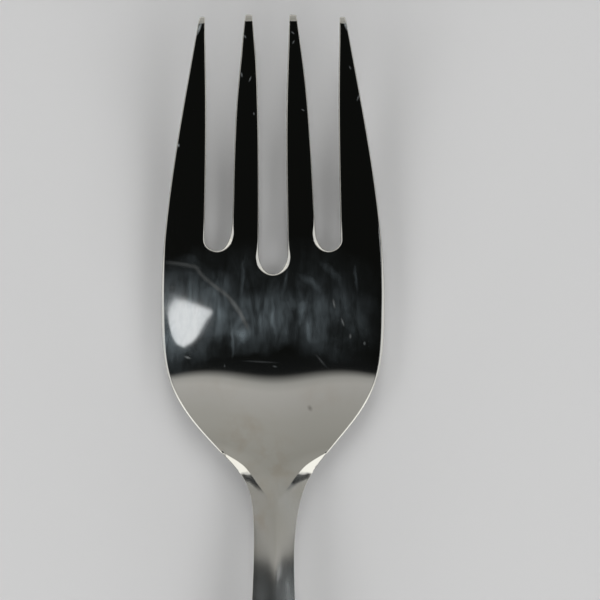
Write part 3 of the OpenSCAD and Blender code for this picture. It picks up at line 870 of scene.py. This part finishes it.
def steel_haze_and_glow(add, place):
    """Film that a cloth leaves: soft patches and streaks, broken up along the cloth's lines. It also paints
    a glow round the window's reflection and a bluish reflection on the right of the bowl.
    """
    drawn = add("ShaderNodeMapping", {"Vector": place, "Scale": (1 / LINE_WIDTH, 1 / LINE_LENGTH, 0)})
    lines = add(
        "ShaderNodeTexNoise",
        {"Vector": drawn, "Scale": 1.0, "Detail": 4.0, "Roughness": 0.65, "Distortion": 0.8},
    )
    streaks = add(
        "ShaderNodeMapRange",
        {"Value": lines, "From Min": 0.36, "From Max": 0.66, "To Min": 0.45, "To Max": 1.55},
    )
    clouds = add("ShaderNodeTexNoise", {"Vector": place, "Scale": 1 / PATCH_SIZE, "Detail": 4.0})
    patches = add(
        "ShaderNodeMapRange",
        {"Value": clouds, "From Min": 0.36, "From Max": 0.64, "To Min": 0.4, "To Max": 1.45},
    )
    wander = add(
        "ShaderNodeVectorMath", {0: clouds.outputs["Color"], 1: (0.5, 0.5, 0.5)}, operation="SUBTRACT",
    )
    pushed = add("ShaderNodeVectorMath", {0: wander, 1: WANDER, 2: place}, operation="MULTIPLY_ADD")
    haze_and_glow = add("ShaderNodeMath", {0: marks(add, pushed, HAZE_AND_GLOW), 1: patches}, operation="MULTIPLY")
    wipes_and_glow = add(
        "ShaderNodeMath",
        {0: marks(add, pushed, STREAKS), 1: STREAK_STRENGTH, 2: haze_and_glow}, operation="MULTIPLY_ADD",
    )
    return add("ShaderNodeMath", {0: wipes_and_glow, 1: streaks}, operation="MULTIPLY")


def steel_tint(add, place, colors):
    """Colour of the steel, with faint brown stains and a pit."""
    spots = add("ShaderNodeTexNoise", {"Vector": place, "Scale": 1 / STAIN_SPOT, "Detail": 3.0})
    bloom = add("ShaderNodeMapRange", {"Value": spots, "From Min": 0.42, "From Max": 0.72, "To Max": 0.36})
    used = add("ShaderNodeMath", {0: marks(add, place, STAINS), 1: bloom}, operation="MULTIPLY")
    stained = add(
        "ShaderNodeMix",
        {"Factor": used, 6: srgb(colors.steel), 7: srgb(colors.stain)}, data_type="RGBA",
    )
    return add(
        "ShaderNodeMix",
        {"Factor": marks(add, place, PITS), 6: stained, 7: srgb(colors.pit)}, data_type="RGBA",
    )


def buffed_stainless(colors):
    """Stainless steel, ground and buffed to a mirror: sharp reflections, wiping haze and a duller neck. Its
    film layer also carries a painted glow, sheen and highlights.
    """
    material, add = new_material("buffed_stainless")
    place = add("ShaderNodeTexCoord").outputs["Object"]
    waves = add("ShaderNodeTexNoise", {"Vector": place, "Scale": 1 / BUFFING_WAVE, "Detail": 1.0})
    surface = add("ShaderNodeBump", {"Height": waves, "Strength": 1.0, "Distance": BUFFING_DEPTH})
    metal = add(
        "ShaderNodeBsdfPrincipled",
        {
            "Base Color": steel_tint(add, place, colors), "Metallic": 1.0,
            "Roughness": steel_roughness(add, place), "Normal": surface,
        },
    )
    smears_and_highlights = marks(add, place, NECK_FILM_AND_SHEEN + SCRATCHES_AND_HIGHLIGHTS + trail(WIPE, WIPE_WIDTH, WIPE_STRENGTH))
    film_and_glow = add("ShaderNodeMath", {0: steel_haze_and_glow(add, place), 1: smears_and_highlights}, operation="ADD", use_clamp=True)
    smear_and_highlight_share = add("ShaderNodeMath", {0: smears_and_highlights, 1: SMEAR_AND_HIGHLIGHT_GAIN}, operation="MULTIPLY", use_clamp=True)
    wash = add(
        "ShaderNodeMix",
        {"Factor": smear_and_highlight_share, 6: srgb(colors.film_and_glow), 7: srgb(colors.smear_and_highlight)}, data_type="RGBA",
    )
    layer = add("ShaderNodeBsdfDiffuse", {"Color": wash})
    share = add("ShaderNodeMath", {0: film_and_glow, 1: FILM_AND_GLOW_COVER}, operation="MULTIPLY")
    both = add("ShaderNodeMixShader", {0: share, 1: metal, 2: layer})
    add("ShaderNodeOutputMaterial", {"Surface": both})
    return material


def cast_cement(colors):
    """Cement, poured round the tang and set: a dull pale mass with sandy grain and a few darker clouds."""
    material, add = new_material("cast_cement")
    place = add("ShaderNodeTexCoord").outputs["Object"]
    clouds = add("ShaderNodeTexNoise", {"Vector": place, "Scale": 1 / CEMENT_CLOUD, "Detail": 2.0})
    sand = add("ShaderNodeTexNoise", {"Vector": place, "Scale": 1 / SAND_SIZE, "Detail": 2.0})
    mixed = add("ShaderNodeMath", {0: clouds, 1: sand}, operation="MULTIPLY")
    share = add("ShaderNodeMapRange", {"Value": mixed, "From Min": 0.12, "From Max": 0.4})
    tone = add(
        "ShaderNodeMix",
        {"Factor": share, 6: srgb(colors.sand), 7: srgb(colors.cement)}, data_type="RGBA",
    )
    grain = add("ShaderNodeBump", {"Height": sand, "Strength": 0.6, "Distance": SAND_HEIGHT})
    shader = add("ShaderNodeBsdfPrincipled", {"Base Color": tone, "Roughness": 0.85, "Normal": grain})
    add("ShaderNodeOutputMaterial", {"Surface": shader})
    return material


def pale_paper(colors):
    """Paper, pressed smooth and left uncoated: an even, dull ground that takes soft shadows."""
    material, add = new_material("pale_paper")
    shader = add(
        "ShaderNodeBsdfPrincipled",
        {"Base Color": srgb(colors.ground), "Roughness": 0.9, "Specular IOR Level": 0.1},
    )
    add("ShaderNodeOutputMaterial", {"Surface": shader})
    return material


def lit_window(color, strength):
    """Window glass with daylight behind it: an even bright patch that only the steel mirrors."""
    material, add = new_material("lit_window")
    light = add("ShaderNodeEmission", {"Color": srgb(color), "Strength": strength})
    add("ShaderNodeOutputMaterial", {"Surface": light})
    return material


def material_named(name, make):
    """The material of that name, made when it is first asked for."""
    return bpy.data.materials.get(name) or make(bpy.context.scene.fork.colors)


def add_piece(name, mesh_data, material, node):
    """A smooth mesh piece that rides on the fork and stands for a CAD node."""
    points, faces, sharp = mesh_data
    mesh = bpy.data.meshes.new(name)
    mesh.from_pydata([tuple(p) for p in points], [], faces)
    if mesh.validate():
        raise RuntimeError(f"{name} has faulty faces")
    mesh.shade_smooth()
    sharp = {frozenset(pair) for pair in sharp}
    for edge in mesh.edges:
        edge.use_edge_sharp = frozenset(edge.vertices) in sharp
    mesh.materials.append(material)
    piece = bpy.data.objects.new(name, mesh)
    bpy.context.scene.collection.objects.link(piece)
    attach(piece, "root")
    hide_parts(node)


class FORK_OT_head(bpy.types.Operator):
    """Build the forged head: tines, dished bowl and ridged neck"""

    bl_idname = "fork.head"
    bl_label = "Fork head"

    def execute(self, context):
        shape = HeadShape(context.scene.fork.head)
        steel = material_named("buffed_stainless", buffed_stainless)
        add_piece("head", head_mesh(shape), steel, "fork_head")
        return {"FINISHED"}


class FORK_OT_collar(bpy.types.Operator):
    """Build the collar that is soldered where the neck enters the handle"""

    bl_idname = "fork.collar"
    bl_label = "Mouth collar"

    def execute(self, context):
        fork = context.scene.fork
        shape = HandleShape(fork.handle, HeadShape(fork.head))
        steel = material_named("buffed_stainless", buffed_stainless)
        add_piece("collar", collar_mesh(shape), steel, "mouth_collar")
        return {"FINISHED"}


class FORK_OT_shells(bpy.types.Operator):
    """Build the two stamped shells of the hollow handle"""

    bl_idname = "fork.shells"
    bl_label = "Handle shells"

    def execute(self, context):
        fork = context.scene.fork
        shape = HandleShape(fork.handle, HeadShape(fork.head))
        steel = material_named("buffed_stainless", buffed_stainless)
        add_piece("front_shell", shell_mesh(shape, True), steel, "handle_front_shell")
        add_piece("back_shell", shell_mesh(shape, False), steel, "handle_back_shell")
        return {"FINISHED"}


class FORK_OT_filler(bpy.types.Operator):
    """Give the cement inside the handle its finish"""

    bl_idname = "fork.filler"
    bl_label = "Handle filler"

    def execute(self, context):
        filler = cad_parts["handle_filler"]
        filler.data.materials.clear()
        filler.data.materials.append(material_named("cast_cement", cast_cement))
        return {"FINISHED"}


CAMERA_PLACE = (4.6 * MM, TIP_Y - 47.8 * MM, 450 * MM)
CAMERA_LENS = 156.7
CAMERA_SENSOR = 36
CAMERA_NEAREST = 0.01
GROUND_REACH = 1.5
# Lamps: name, bearing from the tips' side and rise in degrees, width and height in metres, power in watts
LAMP_DISTANCE = 3.0
LAMPS = (
    ("front_lamp", 0, 50, 0.9, 2.7, 32),
    ("right_lamp", 115, 47, 3.9, 1.5, 40),
    ("left_lamp", 257, 46, 2.3, 1.4, 23),
    ("low_lamp", 180, 10, 4.5, 0.8, 236),
)
# Corners of the window in plan, in millimetres
WINDOW = (
    (252, 53.4), (230, 45.8), (207, 41.5), (177, 38.4), (137, 36.4), (160, 45), (179, 52.8), (206, 65),
    (236, 76), (256, 74.5), (265, 67.5), (267.5, 63.5), (263, 58.4),
)
WINDOW_HEIGHT = 400 * MM
WINDOW_COLOR = "#F4F8FF"
WINDOW_STRENGTH = 1.37
# Room that the steel mirrors, by the direction of a ray: the walls by how far it points to the tips' end,
# the low walls from the handle's end to the tips' end, and a strip of light by its rise
WALL_COLORS = (
    (0.0, "#131413"), (0.095, "#1B1D1E"), (0.135, "#BDBDBB"), (0.17, "#CBCAC8"), (0.22, "#C6C5C3"),
    (0.32, "#BBBAB6"), (0.55, "#AFAEA9"), (0.75, "#D0CFCC"), (0.9, "#FFFFFF"),
)
LOW_COLORS = ((0.0, "#FFFFFB"), (0.27, "#FFFFFB"), (0.4, "#B3B2AF"), (0.51, "#959492"), (0.6, "#E6E5E1"))
STRIP_COLORS = ((0.17, "#000000"), (0.22, "#FFFFFF"), (0.36, "#FFFFFF"), (0.4, "#000000"))
# The walls' bands bend back to both sides, round a middle that is a little off
WALL_MIDDLE, WALL_POWER, WALL_BEND = 0.015, 4.0, -0.7
# Light on the left and the right side of the walls, and the reach over which it changes
SIDE_LEVELS, SIDE_REACH = (0.97, 1.05), 0.3
# Light on the low walls, and the rise at which they start to show and show alone
LOW_LEVEL, LOW_RISES = 1.6, (0.42, 0.26)
# Room as it lights dull things, and as the camera sees it
ROOM_COLOR = "#202020"
BACKDROP_COLOR = "#ECECEC"


class FORK_OT_stage(bpy.types.Operator):
    """Set the ground, the room, the lamps and the camera"""

    bl_idname = "fork.stage"
    bl_label = "Stage"

    def execute(self, context):
        scene = context.scene
        scene.view_settings.view_transform = "Standard"
        self.ground(scene)
        self.room(scene)
        self.lamps(scene)
        self.window(scene)
        self.camera(scene)
        return {"FINISHED"}

    def ground(self, scene):
        """Flat paper that reaches far beyond the picture."""
        mesh = bpy.data.meshes.new("ground")
        corners = [(x * GROUND_REACH, y * GROUND_REACH, 0) for x, y in ((-1, -1), (1, -1), (1, 1), (-1, 1))]
        mesh.from_pydata(corners, [], [(0, 1, 2, 3)])
        mesh.materials.append(pale_paper(scene.fork.colors))
        ground = bpy.data.objects.new("ground", mesh)
        scene.collection.objects.link(ground)

    def set_stops(self, ramp, stops):
        """Output of a colour ramp, after it is set to stops of a place and an sRGB hex."""
        elements = ramp.color_ramp.elements
        for place, color in stops:
            elements.new(place).color = srgb(color)
        elements.remove(elements[-1])
        elements.remove(elements[0])
        return ramp.outputs["Color"]

    def walls(self, add, across, along):
        """Upper part of the room, in bands from dark to bright."""
        shifted = add("ShaderNodeMath", {0: across, 1: WALL_MIDDLE}, operation="ADD")
        aside = add("ShaderNodeMath", {0: shifted, 1: WALL_POWER}, operation="POWER")
        bent = add("ShaderNodeMath", {0: aside, 1: WALL_BEND, 2: along}, operation="MULTIPLY_ADD")
        bands = add("ShaderNodeValToRGB", {"Fac": bent})
        side = add(
            "ShaderNodeMapRange",
            {
                "Value": across, "From Min": -SIDE_REACH, "From Max": SIDE_REACH,
                "To Min": SIDE_LEVELS[0], "To Max": SIDE_LEVELS[1],
            },
        )
        return add(
            "ShaderNodeVectorMath",
            {0: self.set_stops(bands, WALL_COLORS), "Scale": side}, operation="SCALE",
        )

    def low_walls(self, add, along):
        """Low part of the room, bright at the handle's end."""
        share = add("ShaderNodeMapRange", {"Value": along, "From Min": -1.0})
        bands = add("ShaderNodeValToRGB", {"Fac": share})
        return add(
            "ShaderNodeMix",
            {"Factor": 1.0, 6: self.set_stops(bands, LOW_COLORS), 7: (LOW_LEVEL, LOW_LEVEL, LOW_LEVEL, 1)},
            data_type="RGBA", blend_type="MULTIPLY",
        )

    def room(self, scene):
        """Plain room, whose walls show only in the steel's mirror."""
        world = bpy.data.worlds.new("room")
        scene.world = world
        world.use_nodes = True
        world.node_tree.nodes.clear()
        add = partial(add_node, world.node_tree)
        path = add("ShaderNodeLightPath")
        way = add("ShaderNodeTexCoord")
        axes = add("ShaderNodeSeparateXYZ", {"Vector": way.outputs["Generated"]})
        across, along, up = axes.outputs
        low = add(
            "ShaderNodeMapRange",
            {"Value": up, "From Min": LOW_RISES[0], "From Max": LOW_RISES[1], "To Min": 0.0, "To Max": 1.0},
            interpolation_type="SMOOTHSTEP",
        )
        walls = add(
            "ShaderNodeMix",
            {"Factor": low, 6: self.walls(add, across, along), 7: self.low_walls(add, along)},
            data_type="RGBA",
        )
        strip = add("ShaderNodeValToRGB", {"Fac": up})
        mirrored = add(
            "ShaderNodeMix",
            {"Factor": 1.0, 6: walls, 7: self.set_stops(strip, STRIP_COLORS)},
            data_type="RGBA", blend_type="LIGHTEN",
        )
        level = add(
            "ShaderNodeMix",
            {"Factor": path.outputs["Is Glossy Ray"], 6: srgb(ROOM_COLOR), 7: mirrored},
            data_type="RGBA",
        )
        seen = add(
            "ShaderNodeMix",
            {"Factor": path.outputs["Is Camera Ray"], 6: level, 7: srgb(BACKDROP_COLOR)},
            data_type="RGBA",
        )
        light = add("ShaderNodeBackground", {"Color": seen})
        add("ShaderNodeOutputWorld", {"Surface": light})

    def lamps(self, scene):
        """Soft lamps that light the ground and the film on the steel."""
        for name, bearing, rise, width, height, power in LAMPS:
            data = bpy.data.lights.new(name, "AREA")
            data.shape = "RECTANGLE"
            data.size = width
            data.size_y = height
            data.energy = power
            lamp = bpy.data.objects.new(name, data)
            turn, lift = math.radians(bearing), math.radians(rise)
            flat = math.cos(lift)
            toward = Vector((flat * math.sin(turn), flat * math.cos(turn), math.sin(lift)))
            lamp.location = Vector((0, TIP_Y / 2, 0)) + LAMP_DISTANCE * toward
            lamp.rotation_euler = (-toward).to_track_quat("-Z", "Y").to_euler()
            lamp.visible_glossy = False
            scene.collection.objects.link(lamp)

    def window(self, scene):
        """Bright window high on the right, which shows only in the steel's mirror."""
        mesh = bpy.data.meshes.new("window")
        corners = [(x * MM, y * MM, WINDOW_HEIGHT) for x, y in WINDOW]
        mesh.from_pydata(corners, [], [tuple(range(len(WINDOW)))])
        mesh.materials.append(lit_window(WINDOW_COLOR, WINDOW_STRENGTH))
        window = bpy.data.objects.new("window", mesh)
        window.visible_camera = False
        window.visible_diffuse = False
        window.visible_shadow = False
        scene.collection.objects.link(window)

    def camera(self, scene):
        """Camera straight above the head."""
        data = bpy.data.cameras.new("camera")
        data.lens = CAMERA_LENS
        data.sensor_width = CAMERA_SENSOR
        data.clip_start = CAMERA_NEAREST
        camera = bpy.data.objects.new("camera", data)
        camera.location = CAMERA_PLACE
        scene.collection.objects.link(camera)
        scene.camera = camera


class FORK_PT_panel(bpy.types.Panel):
    """Lists the pieces of the fork"""

    bl_label = "Serving fork"
    bl_idname = "FORK_PT_panel"
    bl_space_type = "VIEW_3D"
    bl_region_type = "UI"
    bl_category = "Fork"

    def draw(self, context):
        for operator in OPERATORS:
            self.layout.operator(operator.bl_idname)


GROUPS = (HeadSizes, HandleSizes, FinishColors, ForkSettings)
OPERATORS = (FORK_OT_stage, FORK_OT_head, FORK_OT_collar, FORK_OT_shells, FORK_OT_filler)


def register():
    for made in (*GROUPS, *OPERATORS, FORK_PT_panel):
        bpy.utils.register_class(made)
    bpy.types.Scene.fork = PointerProperty(type=ForkSettings)


def unregister():
    del bpy.types.Scene.fork
    for made in reversed((*GROUPS, *OPERATORS, FORK_PT_panel)):
        bpy.utils.unregister_class(made)


def main():
    register()
    bpy.ops.fork.stage()
    bpy.ops.fork.head()
    bpy.ops.fork.collar()
    bpy.ops.fork.shells()
    bpy.ops.fork.filler()


if __name__ == "__main__":
    main()
